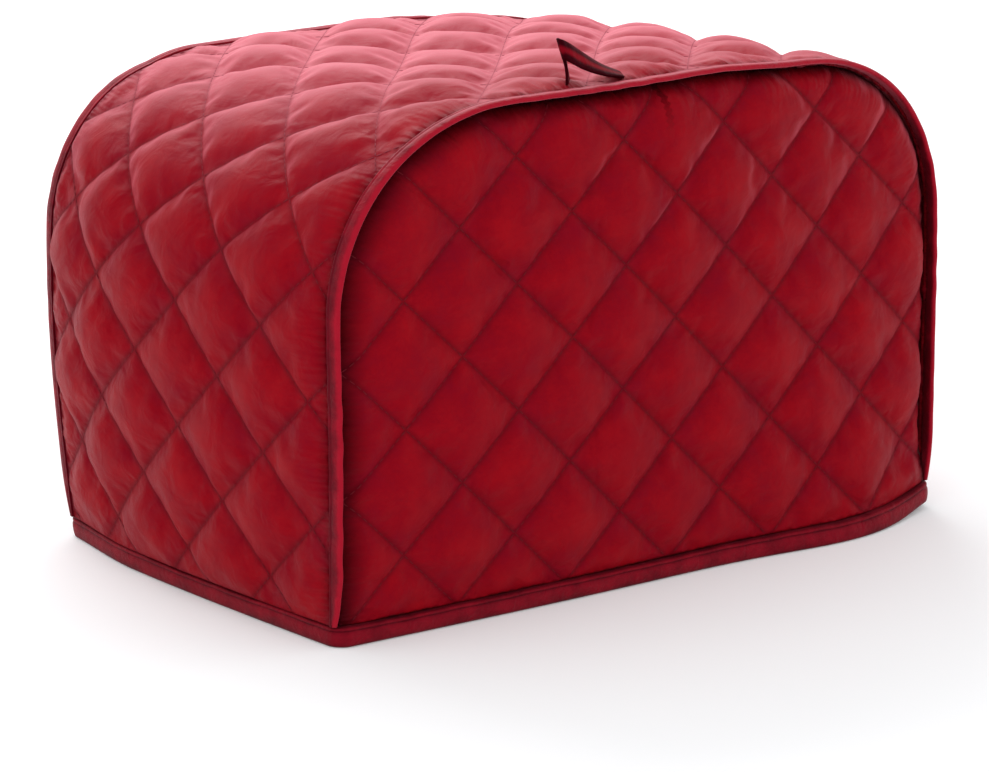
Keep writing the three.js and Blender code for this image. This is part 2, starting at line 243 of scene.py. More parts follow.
quilting = {
    "halfDiagonal": 25.1,  # of a diamond
    "steps": 10,  # cells of cloth along a diamond's side
    "clothHalf": 1.1,  # half of the thickness at a stitch line
    "growth": -0.055,  # the cloth is cut this share larger than the space it fills
    "seamGrowth": -0.11,  # and this much beside the seams, where it gathers
    "gatherReach": 15.0,
    "pressure": 7.0,
    "frames": 22,
    "scale": 0.01,  # of the cloth while it is simulated
    "lowest": -0.8,
    "mostUp": 7.0,
    "mostAside": 3.0,
    "onLine": 0.004,  # share of a diamond within which a point is stitched down
    "onRim": 0.4,
    "plainPuff": 4.4,  # height of the plain puffs that stand in for the simulated ones
    "flatRim": 10.0,  # the puffs grow from the seam over this distance
    "crease": 0.85,  # sharpness of a stitch line
    "pucker": 0.4,  # height of the gathers beside the seams
    "puckerWave": 0.95,
    "puckerReach": 1.5,
    "ripple": 0.9,
    "rippleLength": (31.0, 26.0),
}
# width of the painted shade beside a stitch line, of the wrinkles there, which also carry a little painted
# shade, and of the gathers beside a seam
shadeWidth = {"stitch": 1.0, "wrinkle": 6.0, "gather": 5.0}
clothSettings = {
    "quality": 6,
    "mass": 0.02,
    "tension_stiffness": 12,
    "compression_stiffness": 12,
    "shear_stiffness": 4,
    "bending_stiffness": 0.02,
    "air_damping": 3,
    "vertex_group_mass": "pins",
    "vertex_group_shrink": "gathers",
    "shrink_min": quilting["growth"],
    "shrink_max": quilting["seamGrowth"],
    "use_pressure": True,
    "uniform_pressure_force": quilting["pressure"],
}
# a crossing of each cloth's stitching, and how dark the painted shadow on its rim beside the binding is,
# with the width of that painted shadow at its right and left end
crossings = {"front": (5.5, 157.7), "back": (-14.0, 151.0), "gusset": (170.9, -55.0)}
paintedGrooveShades = {"front": (1.0, 3.6, 7.0), "back": (1.0, 3.6, 3.6), "gusset": (0.5, 2.4, 2.4)}


def diamondPlace(u, v, crossing):
    # counts diamonds from a crossing, along the two directions of stitching
    across = (u - crossing[0]) / (2 * quilting["halfDiagonal"])
    up = (v - crossing[1]) / (2 * quilting["halfDiagonal"])
    return across + up, across - up


def layCloth(name, crossing, low, high, cuts):
    # a grid whose cells follow the stitch lines, cut along the piece's outline
    side = quilting["halfDiagonal"] * math.sqrt(2)
    ends = [(u, v) for u in (low[0], high[0]) for v in (low[1], high[1])]
    farthest = max(abs(u - crossing[0]) + abs(v - crossing[1]) for u, v in ends)
    diamonds = math.ceil(farthest / math.sqrt(2) / side)
    cells = 2 * diamonds * quilting["steps"]
    bpy.ops.object.select_all(action="DESELECT")
    bpy.ops.mesh.primitive_grid_add(x_subdivisions=cells, y_subdivisions=cells, size=2 * diamonds * side)
    cloth = bpy.context.object
    cloth.name = name
    edit(cloth)
    bpy.ops.transform.rotate(value=math.pi / 4, orient_axis="Z", center_override=(0, 0, 0))
    bpy.ops.transform.translate(value=(crossing[0], crossing[1], 0))
    for place, outwards in cuts:
        bpy.ops.mesh.select_all(action="SELECT")
        bpy.ops.mesh.bisect(plane_co=(*place, 0), plane_no=(*outwards, 0), clear_outer=True, threshold=0.001)
    bpy.ops.mesh.select_all(action="SELECT")
    bpy.ops.mesh.remove_doubles(threshold=0.35)
    done()
    return cloth


def simulate(cloth):
    select(cloth)
    bpy.ops.object.modifier_add(type="CLOTH")
    simulation = cloth.modifiers[-1]
    for name, value in clothSettings.items():
        setattr(simulation.settings, name, value)
    simulation.settings.effector_weights.gravity = 0
    simulation.point_cache.frame_end = quilting["frames"]
    for moment in range(1, quilting["frames"] + 1):
        bpy.context.scene.frame_set(moment)
    bpy.ops.object.modifier_apply(modifier=simulation.name)
    bpy.context.scene.frame_set(1)


def uneven(u, v):
    # the slight unevenness from which the puffs grow
    quick = 0.25 * np.sin(u * 0.9 + 2 * np.sin(v * 0.31)) * np.sin(v * 1.1 + 1.7 * np.sin(u * 0.23))
    return quick, 0.4 * np.sin(u * 0.37 + 1) * np.sin(v * 0.41)


def growCloth(cloth, crossing, toSeam):
    # the stitch lines hold, and the cloth between them swells and gathers
    points = pointsOf(cloth)
    u, v = points[:, 0], points[:, 1]
    a, b = diamondPlace(u, v, crossing)
    toLine = np.minimum(np.abs(a - np.round(a)), np.abs(b - np.round(b)))
    stitched = toLine < quilting["onLine"]
    held = stitched | (toSeam(u, v) < quilting["onRim"])
    pins = cloth.vertex_groups.new(name="pins")
    pins.add([int(i) for i in np.flatnonzero(held)], 1.0, "REPLACE")
    gathers = cloth.vertex_groups.new(name="gathers")
    near = np.clip(1 - toSeam(u, v) / quilting["gatherReach"], 0, 1)
    for i in np.flatnonzero(near > 0):
        gathers.add([int(i)], float(near[i]), "REPLACE")
    start = points.copy()
    for part in uneven(u, v):
        start[:, 2] += part
    start[held, 2] = 0
    movePoints(cloth, start * quilting["scale"])
    simulate(cloth)
    grown = pointsOf(cloth) / quilting["scale"]
    print(cloth.name, "swells to", np.round(np.percentile(grown[:, 2], [0, 5, 50, 95, 100]), 2),
          "aside", np.round(np.abs(grown[:, :2] - points[:, :2]).max(), 2))
    grown[:, 2] = np.clip(grown[:, 2], quilting["lowest"], quilting["mostUp"])
    aside = np.clip(grown[:, :2] - points[:, :2], -quilting["mostAside"], quilting["mostAside"])
    grown[:, :2] = points[:, :2] + aside
    grown[held] = points[held] * (1, 1, 0)
    movePoints(cloth, grown)
    return points[:, :2], stitched


def layOut(cloth, flat, stitched):
    keepFlat(cloth.data, cloth.data.uv_layers.new(name="flatLayout"), flat)
    ends = np.empty(len(cloth.data.edges) * 2, np.int32)
    cloth.data.edges.foreach_get("vertices", ends)
    ends = ends.reshape(-1, 2)
    sharp = stitched[ends[:, 0]] & stitched[ends[:, 1]]
    newAttribute(cloth.data, "crease_edge", "EDGE", sharp * quilting["crease"])


def rippled(u, v, toSeam):
    free = np.minimum(1, toSeam(u, v) / quilting["flatRim"]) ** 0.7
    longU, longV = quilting["rippleLength"]
    return quilting["ripple"] * free * np.sin(u / longU + 1.3) * np.cos(v / longV + 0.5)


def finishCloth(cloth, place, toSeam, toBinding, along, up, crossing, paintedGrooveShade):
    select(cloth)
    smooth = cloth.modifiers.new("smooth", "SUBSURF")
    smooth.levels = smooth.render_levels = 1
    smooth.boundary_smooth = "ALL"
    bpy.ops.object.modifier_apply(modifier="smooth")
    points = pointsOf(cloth)
    u, v = points[:, 0], points[:, 1]
    a, b = diamondPlace(u, v, crossing)
    toLine = np.minimum(np.abs(a - np.round(a)), np.abs(b - np.round(b)))
    toLine = toLine * quilting["halfDiagonal"] * math.sqrt(2)
    # painted shadow along the rim beside the binding, wider towards the left end
    dark, atRight, atLeft = paintedGrooveShade
    leftwards = np.clip(-u / (cover["width"] / 2), 0, 1)
    paintedShadeWidth = atRight + (atLeft - atRight) * easeIn(leftwards)
    shades = {
        "topShade": up(u, v),
        "stitchShade": hump(toLine, shadeWidth["stitch"]),
        "wrinkleShade": hump(toLine, shadeWidth["wrinkle"]),
        "seamShade": dark * hump(toBinding(u, v), paintedShadeWidth),
        "gatherShade": np.exp(-toBinding(u, v) / shadeWidth["gather"]),
        "alongSeam": along(u, v),
        "besideSeam": toBinding(u, v),
    }
    for name, amount in shades.items():
        newAttribute(cloth.data, name, "POINT", amount)
    pucker = np.sin(quilting["puckerWave"] * along(u, v) + 2.2 * np.sin(0.13 * along(u, v)))
    pucker = pucker * np.minimum(1, toBinding(u, v) / quilting["puckerReach"])
    lift = rippled(u, v, toSeam) + quilting["pucker"] * pucker * shades["gatherShade"]
    movePoints(cloth, place(u, v, quilting["clothHalf"] + points[:, 2] + lift) * metres)
    shell = cloth.modifiers.new("shell", "SOLIDIFY")
    shell.thickness = 2 * quilting["clothHalf"] * metres
    shell.offset = -1
    bpy.ops.object.modifier_apply(modifier="shell")
    bpy.ops.object.shade_smooth()


def panelCuts(inset):
    side = cover["width"] / 2 - inset
    radius = cover["corner"] - inset
    # each cut is a point and the direction of what falls away
    cuts = [
        ((0, clothFoot), (0, -1)),
        ((side, 0), (1, 0)),
        ((-side, 0), (-1, 0)),
        ((0, cover["height"] - inset), (0, 1)),
    ]
    for sign in (1, -1):
        for step in range(1, cover["cornerCuts"]):
            angle = math.radians(90 * step / cover["cornerCuts"])
            outwards = (sign * math.cos(angle), math.sin(angle))
            middle = (sign * (side - radius), leg)
            cuts.append(((middle[0] + radius * outwards[0], middle[1] + radius * outwards[1]), outwards))
    return cuts


def quiltedPanel(name, crossing, facing, paintedGrooveShade):
    back, over = cover["rimDip"]
    fadeOver, leastDip = cover["dipFade"]

    def place(u, v, w):
        dip = back * np.maximum(0, 1 - insideBinding(u, v) / over) ** 2
        dip = dip * np.clip((v - clothFoot) / fadeOver, leastDip, 1)
        out = seamY + cover["panelSet"] + quilting["clothHalf"] + w - dip
        return swellOut(-facing * u, facing * out, v)

    cloth = layCloth(name, crossing, *panelSpan, panelCuts(cover["panelInset"]))
    flat, stitched = growCloth(cloth, crossing, insidePanel)
    layOut(cloth, flat, stitched)
    finishCloth(cloth, place, insidePanel, insideBinding, alongBinding, panelUp, crossing, paintedGrooveShade)
    if facing > 0:
        edit(cloth)
        bpy.ops.mesh.flip_normals()
        done()
    return cloth, place


def quiltedGusset(name, crossing, paintedGrooveShade):
    def place(u, v, w):
        x, z = outlinePoint(u, w - quilting["clothHalf"])
        return swellOut(x, v, z)

    cuts = [
        ((clothFoot, 0), (-1, 0)),
        ((outlineLength - clothFoot, 0), (1, 0)),
        ((0, -seamY), (0, -1)),
        ((0, seamY), (0, 1)),
    ]
    cloth = layCloth(name, crossing, *gussetSpan, cuts)
    flat, stitched = growCloth(cloth, crossing, insideGusset)
    layOut(cloth, flat, stitched)
    finishCloth(cloth, place, insideGusset, besideGusset, alongGusset, gussetUp, crossing, paintedGrooveShade)
    return cloth, place


frontCloth, placeFront = quiltedPanel("frontCloth", crossings["front"], -1, paintedGrooveShades["front"])
print("front cloth made")
backCloth, placeBack = quiltedPanel("backCloth", crossings["back"], 1, paintedGrooveShades["back"])
print("back cloth made")
gussetCloth, placeGusset = quiltedGusset("gussetCloth", crossings["gusset"], paintedGrooveShades["gusset"])
print("gusset cloth made")

# Thread, as rows of small stitches
thread = {
    "stitch": 2.5,
    "every": 3.3,
    "width": 0.42,
    "thickness": 0.3,
    "sunk": 0.05,
    "toSeam": 1.0,  # no stitch lies nearer to a seam
}


def oneStitch():
    bpy.ops.object.select_all(action="DESELECT")
    bpy.ops.mesh.primitive_uv_sphere_add(segments=6, ring_count=4, radius=1)
    stitch = bpy.context.object
    edit(stitch)
    bpy.ops.transform.rotate(value=math.pi / 2, orient_axis="Y", center_override=(0, 0, 0))
    bpy.ops.transform.resize(value=(thread["stitch"] / 2, thread["width"] / 2, thread["thickness"] / 2))
    done()
    points = pointsOf(stitch)
    faces = [tuple(face.vertices) for face in stitch.data.polygons]
    bpy.data.objects.remove(stitch)
    return points, faces


def sewn(name, rows, place, up):
    # one stitch, copied along rows of (place, direction) in a cloth's flat layout
    shape, faces = oneStitch()
    count = len(shape)
    centres = np.array([row[:3] for row in rows])
    ways = np.array([row[3:] for row in rows])
    along = shape[None, :, 0] * ways[:, 0:1] - shape[None, :, 1] * ways[:, 1:2]
    aside = shape[None, :, 0] * ways[:, 1:2] + shape[None, :, 1] * ways[:, 0:1]
    u = (centres[:, 0:1] + along).ravel()
    v = (centres[:, 1:2] + aside).ravel()
    w = (centres[:, 2:3] + shape[None, :, 2]).ravel()
    mesh = bpy.data.meshes.new(name)
    copies = [[i + k * count for i in face] for k in range(len(rows)) for face in faces]
    mesh.from_pydata(place(u, v, w) * metres, [], copies)
    newAttribute(mesh, "topShade", "POINT", up(u, v))
    piece = bpy.data.objects.new(name, mesh)
    bpy.context.scene.collection.objects.link(piece)
    edit(piece)
    bpy.ops.mesh.normals_make_consistent(inside=False)
    done()
    select(piece)
    bpy.ops.object.shade_smooth()
    return piece


def stitchRows(crossing, low, high, toSeam):
    # the place of each stitch, its height over the flat cloth and the direction in which it runs
    rows = []
    side = quilting["halfDiagonal"] * math.sqrt(2)
    perSide = round(side / thread["every"])
    slope = math.sqrt(0.5)
    span = math.ceil((abs(high[0] - low[0]) + abs(high[1] - low[1])) / quilting["halfDiagonal"])
    for line in range(-span, span + 1):
        for step in range(-span * perSide, span * perSide):
            share = (step + 0.5) / perSide
            for a, b, way in ((line, share, (slope, -slope)), (share, line, (slope, slope))):
                u = crossing[0] + quilting["halfDiagonal"] * (a + b)
                v = crossing[1] + quilting["halfDiagonal"] * (a - b)
                onCloth = low[0] < u < high[0] and low[1] < v < high[1]
                if onCloth and toSeam(u, v) > thread["toSeam"]:
                    rows.append((u, v, 0.0, *way))
    rows = np.array(rows)
    height = quilting["clothHalf"] + rippled(rows[:, 0], rows[:, 1], toSeam)
    rows[:, 2] = height + thread["thickness"] / 2 - thread["sunk"]
    return rows


frontRows = stitchRows(crossings["front"], *panelSpan, insidePanel)
frontThread = sewn("frontThread", frontRows, placeFront, panelUp)
backRows = stitchRows(crossings["back"], *panelSpan, insidePanel)
backThread = sewn("backThread", backRows, placeBack, panelUp)
gussetRows = stitchRows(crossings["gusset"], *gussetSpan, insideGusset)
gussetThread = sewn("gussetThread", gussetRows, placeGusset, gussetUp)
print("stitches", len(frontRows), len(backRows), len(gussetRows))

# Folded tapes round the seams
binding = {
    "rings": 520,
    "thickness": 2.4,
    "proud": 0.8,
    "reach": 5.9,
    "footTuck": 3.0,
    "footTuckHeight": 24.0,
    "waver": 0.3,
    # the folded edge catches the light, and the sewn edge lies in shade
    "paintedLight": [0.1, 0.1, 0.1, 0.1, 0.1, 0.15, 0.1, 0.2, 0.3, 0.45, 0.8,
                  1.0, 1.0, 1.0, 1.0, 1.0, 0.8, 0.35, 0.2, 0.1],
    "outerSide": 11,  # so many of these lie on the outer side
    "topPaintedLight": 0.65,  # least painted light on that side along the top
}


def foldTape(name, ringCount, section, placed, closed, long, paintedLight):
    # a flat strip, laid round a section and along a seam; long is its length, and the last argument gives
    # the painted light and shade for each point of the section
    across = len(section(0.0))
    bpy.ops.object.select_all(action="DESELECT")
    bpy.ops.mesh.primitive_grid_add(x_subdivisions=across, y_subdivisions=ringCount - 1 + closed, size=1)
    tape = bpy.context.object
    tape.name = name
    shares = [(index % ringCount) / (ringCount - 1 + closed) for index in range(ringCount + closed)]
    sections = [section(share) for share in shares]
    rings = [[(share, *point) for point in ring + ring[:1]] for share, ring in zip(shares, sections)]
    rings = np.array(rings)
    movePoints(tape, placed(rings.reshape(-1, 3)) * metres)
    shades = [paintedLight(share) + paintedLight(share)[:1] for share in shares]
    newAttribute(tape.data, "foldShade", "POINT", shades)
    girth = np.linalg.norm(np.diff(rings[:, :, 1:], axis=1), axis=2).mean(0)
    around = np.concatenate([[0], np.cumsum(girth)])
    flat = np.zeros((ringCount + closed, across + 1, 2))
    flat[:, :, 0] = np.linspace(0, long, ringCount + closed)[:, None]
    flat[:, :, 1] = around
    layer = tape.data.uv_layers[0] if tape.data.uv_layers else tape.data.uv_layers.new()
    layer.name = "flatLayout"
    keepFlat(tape.data, layer, flat.reshape(-1, 2))
    edit(tape)
    bpy.ops.mesh.remove_doubles(threshold=0.000001)
    if not closed:
        bpy.ops.mesh.select_all(action="DESELECT")
        bpy.ops.mesh.select_non_manifold(extend=False)
        bpy.ops.mesh.fill_holes(sides=0)
    bpy.ops.mesh.select_all(action="SELECT")
    bpy.ops.mesh.normals_make_consistent(inside=False)
    done()
    select(tape)
    bpy.ops.object.shade_smooth()
    return tape


def waver(along, phase):
    # slow and quick unevenness of a sewn edge, the same at each run
    slow = np.sin(along / 23.0 + phase) + 0.6 * np.sin(along / 11.3 + 2.1 * phase)
    quick = 0.5 * np.sin(along / 2.3 + 1.7 * np.sin(along / 17.0 + phase))
    comesAndGoes = 0.5 + 0.5 * np.sin(along / 37.0 + 3 * phase)
    return slow * 0.6 + quick * comesAndGoes


def bindingSection(phase):
    def section(share):
        along = clothFoot + share * (outlineLength - 2 * clothFoot)
        toFoot = min(along, outlineLength - along)
        low = max(0.0, 1 - (min(toFoot, leg) - clothFoot) / binding["footTuckHeight"])
        reach = binding["reach"] - binding["footTuck"] * low ** 2
        reach = reach + binding["waver"] * float(waver(along, phase))
        out = binding["proud"] + 0.6 * binding["waver"] * float(waver(along, phase + 2))
        inside = out - binding["thickness"]
        back = cover["gap"]
        outEdge = back + 1.2 + 0.2 * float(waver(along, phase + 4))
        # along the foot, up the outer side, round the folded edge and down the inner side
        return [
            (inside, back), (inside + 0.7, back), (out - 0.8, back), (out - 0.2, back),
            (out - 0.05, back + 0.2), (out, outEdge - 0.45), (out - 0.28, outEdge),
            (out - 0.08, outEdge + 0.45), (out, reach * 0.5), (out, reach - 1.7),
            (out - 0.14, reach - 1.0), (out - 0.45, reach - 0.45), (out - 0.85, reach - 0.1),
            (out - 1.25, reach), (inside + 0.8, reach - 0.1), (inside + 0.42, reach - 0.45),
            (inside + 0.14, reach - 1.0), (inside, reach - 1.7), (inside, reach * 0.5),
            (inside, back + 0.4),
        ]
    return section


def bindingPaintedLight(share):
    # along the top, the tape's outer side faces the light
    along = clothFoot + share * (outlineLength - 2 * clothFoot)
    angle = (min(along, outlineLength - along) - leg) / cover["corner"]
    up = float(easeIn(math.sin(min(max(angle, 0.0), math.pi / 2))))
    count, least = binding["outerSide"], binding["topPaintedLight"]
    outerSide = [value + (max(value, least) - value) * up for value in binding["paintedLight"][:count]]
    return outerSide + binding["paintedLight"][count:]


def bindingPlace(facing):
    def placed(layout):
        along = clothFoot + layout[:, 0] * (outlineLength - 2 * clothFoot)
        x, z = outlinePoint(along, layout[:, 1])
        return swellOut(x, facing * (seamY + layout[:, 2]), z)
    return placed


def bindingTape(name, phase, facing):
    section, placed = bindingSection(phase), bindingPlace(facing)
    return foldTape(name, binding["rings"], section, placed, 0, outlineLength, bindingPaintedLight)


frontTape = bindingTape("frontTape", 0.0, -1)
backTape = bindingTape("backTape", 1.3, 1)
print("bindings made")

hem = {
    "rings": 640,
    "height": 7.8,
    "thickness": 5.6,
    "proud": 0.8,
    "set": 1.2,
    "corner": 7.0,
    "waver": 0.35,
    # painted light and shade: dark at its lower edge and at the row of stitches below its upper edge, where
    # shade falls
    "paintedLight": [0.2, 0.2, 0.1, 0.1, 0.4, 0.65, 0.75, 0.75, 0.6,
                  0.0, 0.6, 0.7, 0.6, 0.3, 0.2, 0.2, 0.2, 0.2],
    "long": 973.0,
}


def hemWay(share):
    # a point round the hem from above, at a share of its length, with the direction outwards
    halfX = cover["width"] / 2 + hem["proud"] - hem["corner"]
    halfY = cover["depth"] / 2 - hem["set"] - hem["corner"]
    arc = hem["corner"] * math.pi / 2
    # length of each run, the corner from which it starts and its direction
    runs = [(arc, 1, -1, -90), (2 * halfY, 1, -1, 0), (arc, 1, 1, 0), (2 * halfX, 1, 1, 90),
            (arc, -1, 1, 90), (2 * halfY, -1, 1, 180), (arc, -1, -1, 180), (2 * halfX, -1, -1, 270)]
    rest = share * sum(run[0] for run in runs)
    for index, (length, sideX, sideY, degrees) in enumerate(runs):
        if rest <= length or index == len(runs) - 1:
            break
        rest -= length
    if index % 2 == 0:
        angle = math.radians(degrees + 90 * rest / length)
        return sideX * halfX, sideY * halfY, math.cos(angle), math.sin(angle)
    angle = math.radians(degrees)
    x = sideX * halfX - math.sin(angle) * rest
    y = sideY * halfY + math.cos(angle) * rest
    return x, y, math.cos(angle), math.sin(angle)


def hemSection(share):
    along = share * 2 * math.pi
    wobble = 0.3 * math.sin(9 * along + 1) + 0.25 * math.sin(23 * along) + 0.18 * math.sin(61 * along + 2)
    wobble = hem["waver"] * wobble
    top = hem["height"] + wobble
    puff = 0.25 * math.sin(14 * along) + 0.2 * math.sin(37 * along + 1)
    back = -hem["thickness"]
    # along the underside, up the outer side, over the upper edge and down the inner side
    return [
        (back, 0.0), (back * 0.5, 0.0), (-0.9, 0.0), (-0.25, 0.3), (0.1 * puff, 1.1),
        (0.15 + 0.3 * puff, 2.4), (0.2 + 0.4 * puff, 4.0), (0.1 + 0.3 * puff, 5.3),
        (-0.15, top - 1.9), (-0.5, top - 1.4), (-0.15, top - 1.0), (-0.2, top - 0.5),
        (-0.5, top - 0.15), (-1.2, top), (back * 0.5, top), (back + 0.3, top),
        (back, top - 0.4), (back, 4.0),
    ]


def hemPlace(layout):
    ways = np.array([hemWay(share) for share in layout[:, 0]])
    reach = hem["corner"] + layout[:, 1]
    return swellOut(ways[:, 0] + ways[:, 2] * reach, ways[:, 1] + ways[:, 3] * reach, layout[:, 2])


hemTape = foldTape(
    "hemTape", hem["rings"], hemSection, hemPlace, 1, hem["long"], lambda share: hem["paintedLight"]
)
print("hem made")

# The loop on top: its near and far edge, with heights over the plain box
loop = {
    "near": [(-15.5, -88.9, 1.6), (-25.6, -89.3, 3.9), (-34.6, -88.9, 7.2), (-40.8, -88.5, 10.6),
             (-42.4, -87.2, 11.7), (-40.7, -85.1, 10.9), (-40.6, -86.2, 7.2), (-41.6, -87.4, 1.9)],
    "far": [(-11.0, -81.5, 2.6), (-22.0, -83.0, 7.4), (-33.6, -84.5, 14.3), (-40.6, -85.4, 18.6),
            (-43.3, -85.0, 20.0), (-41.3, -82.9, 19.1), (-38.2, -81.8, 13.8), (-35.2, -81.2, 2.9)],
    "half": 0.5,
    "rings": 120,
    "long": 51.0,
    # painted light in the middle of each face of the loop's tape, and painted shade at its edges
    "paintedLight": [0.0, 0.25, 1.0, 0.25, 0.0, 0.0, 0.0, 0.25, 1.0, 0.25, 0.0, 0.0],
}


def loopEdge(stops):
    # a smooth curve through the stops, as points at even shares of its length
    bpy.ops.object.select_all(action="DESELECT")
    bpy.ops.curve.primitive_bezier_curve_add()
    wire = bpy.context.object
    spline = wire.data.splines[0]
    spline.bezier_points.add(len(stops) - 2)
    for point, stop in zip(spline.bezier_points, stops):
        point.co = stop
        point.handle_left_type = point.handle_right_type = "AUTO"
    wire.data.resolution_u = 16
    bpy.ops.object.convert(target="MESH")
    points = pointsOf(wire)
    bpy.data.objects.remove(wire)
    return points


loopEdges = [loopEdge(loop[name]) for name in ("near", "far")]


def loopSection(share):
    thick = loop["half"]
    soft = 0.1 * math.sin(share * 40)
    return [(0.02, -thick), (0.25, -thick), (0.5, -thick + soft), (0.75, -thick), (0.98, -thick), (1.0, 0.0),
            (0.98, thick), (0.75, thick), (0.5, thick + soft), (0.25, thick), (0.02, thick), (0.0, 0.0)]


def loopPlace(layout):
    index = layout[:, 0] * (len(loopEdges[0]) - 1)
    steps = np.arange(len(loopEdges[0]))

    def between(stops):
        return np.column_stack([np.interp(index, steps, stops[:, i]) for i in range(3)])

    near, far = [between(edge) for edge in loopEdges]
    onwards = sum(between(np.gradient(edge, axis=0)) for edge in loopEdges)
    facing = np.cross(onwards, far - near)
    facing /= np.linalg.norm(facing, axis=1)[:, None]
    middle = near + (far - near) * layout[:, 1:2] + facing * layout[:, 2:3]
    return swellOut(middle[:, 0], middle[:, 1], cover["height"] + middle[:, 2])


loopTape = foldTape(
    "loopTape", loop["rings"], loopSection, loopPlace, 0, loop["long"], lambda share: loop["paintedLight"]
)
print("loop made")


class Wire:
    def __init__(self, tree, socket=None):
        self.tree = tree
        self.socket = socket

    def node(self, kind, settings, inputs, output=0):
        made = self.tree.nodes.new("ShaderNode" + kind)
        for name, value in settings.items():
            if name == "stops":
                ramp = made.color_ramp
                while len(ramp.elements) < len(value):
                    ramp.elements.new(0.5)
                for element, (place, colour) in zip(ramp.elements, value):
                    element.position = place
                    element.color = (*colour, 1)
            else:
                setattr(made, name, value)
        for name, value in inputs.items():
            if isinstance(value, Wire):
                self.tree.links.new(value.socket, made.inputs[name])
            else:
                made.inputs[name].default_value = value
        return Wire(self.tree, made.outputs[output])

    def amount(self, name):
        return self.node("Attribute", {"attribute_name": name}, {}, 2)

    def math(self, operation, first, second=0.0):
        return self.node("Math", {"operation": operation}, {0: first, 1: second})

    def mix(self, share, first, second):
        plain = [value if isinstance(value, Wire) else (*value, 1) for value in (first, second)]
        return self.node("Mix", {"data_type": "RGBA"}, {0: share, 6: plain[0], 7: plain[1]}, 2)

    def __add__(self, other):
        return self.math("ADD", self, other)

    def __radd__(self, other):
        return self.math("ADD", other, self)

    def __sub__(self, other):
        return self.math("SUBTRACT", self, other)

    def __rsub__(self, other):
        return self.math("SUBTRACT", other, self)

    def __mul__(self, other):
        return self.math("MULTIPLY", self, other)

    def __rmul__(self, other):
        return self.math("MULTIPLY", other, self)

    def __pow__(self, other):
        return self.math("POWER", self, other)


def newMaterial(name):
    material = bpy.data.materials.new(name)
    material.use_nodes = True
    tree = material.node_tree
    shader = next(node for node in tree.nodes if node.type == "BSDF_PRINCIPLED")
    return material, Wire(tree), shader


def feed(wire, shader, links, constants):
    for name, value in links.items():
        wire.tree.links.new(value.socket, shader.inputs[name])
    for name, value in constants.items():
        shader.inputs[name].default_value = value


def noise(wire, layout, scale, detail, roughness=0.5, distortion=0.0, **settings):
    return wire.node("TexNoise", settings, {"Vector": layout, "Scale": scale, "Detail": detail,
                                            "Roughness": roughness, "Distortion": distortion})


def bands(wire, layout, way, scale, distortion, detail):
    return wire.node("TexWave", {"bands_direction": way},
                     {"Vector": layout, "Scale": scale, "Distortion": distortion, "Detail": detail})


def eased(wire, value, fromMin, fromMax, toMin, toMax):
    return wire.node("MapRange", {"interpolation_type": "SMOOTHSTEP"},
                     {"Value": value, "From Min": fromMin, "From Max": fromMax,
                      "To Min": toMin, "To Max": toMax})


satin = {
    # the colour of the painted shade in the stitch lines
    "stitchShadow": (0.075, 0.0012, 0.005),
    # the colour of the painted shadow along the rim beside the binding
    "paintedGrooveShade": (0.022, 0.0004, 0.0018),
    "cool": (0.215, 0.0022, 0.0108),
    "plain": (0.245, 0.0019, 0.0080),
    "warm": (0.300, 0.0028, 0.0078),
    "lit": (0.55, 0.012, 0.030),  # towards the top, which takes the most light
    "paintedSheen": (0.80, 0.195, 0.25),  # painted sheen, where the cloth is seen along its surface
    "paintedSheenMost": (0.4, 0.46),  # the most painted sheen at the puffs' own edges, and all over the top
    "stitched": (0.5, 0.34),  # how dark the painted shade in the stitch lines is, and how much less so on top, where the light falls
    "roughness": 0.48,
    "weave": 16.0,  # threads to the centimetre in the pattern's scale
    "relief": 0.0013,
}


# Painted sheen: cloth is painted paler where it turns away from the eye, most of all on top and towards the
# back; heights and depths are in metres
sheenPainting = {
    "turnedAway": (0.5, 0.92),
    "height": (0.11, 0.19),
    "depth": (-0.1, 0.0),
    "least": 0.1,
}


def withPaintedSheen(wire, colour, paintedSheen, most, throughout=0.0):
    facing = wire.node("LayerWeight", {}, {"Blend": 0.5}, 1)
    share = eased(wire, facing, *sheenPainting["turnedAway"], 0.0, most)
    place = wire.node("TexCoord", {}, {}, 3)
    height = wire.node("SeparateXYZ", {}, {"Vector": place}, 2)
    depth = wire.node("SeparateXYZ", {}, {"Vector": place}, 1)
    onTop = eased(wire, height, *sheenPainting["height"], sheenPainting["least"], 1.0)
    farther = eased(wire, depth, *sheenPainting["depth"], sheenPainting["least"], 1.0)
    # painted sheen all over the top, more of it towards the back
    paintedTopSheen = wire.amount("topShade") ** 4 * (0.17 + facing) * throughout * farther
    return wire.mix(share * onTop + paintedTopSheen, colour, paintedSheen)


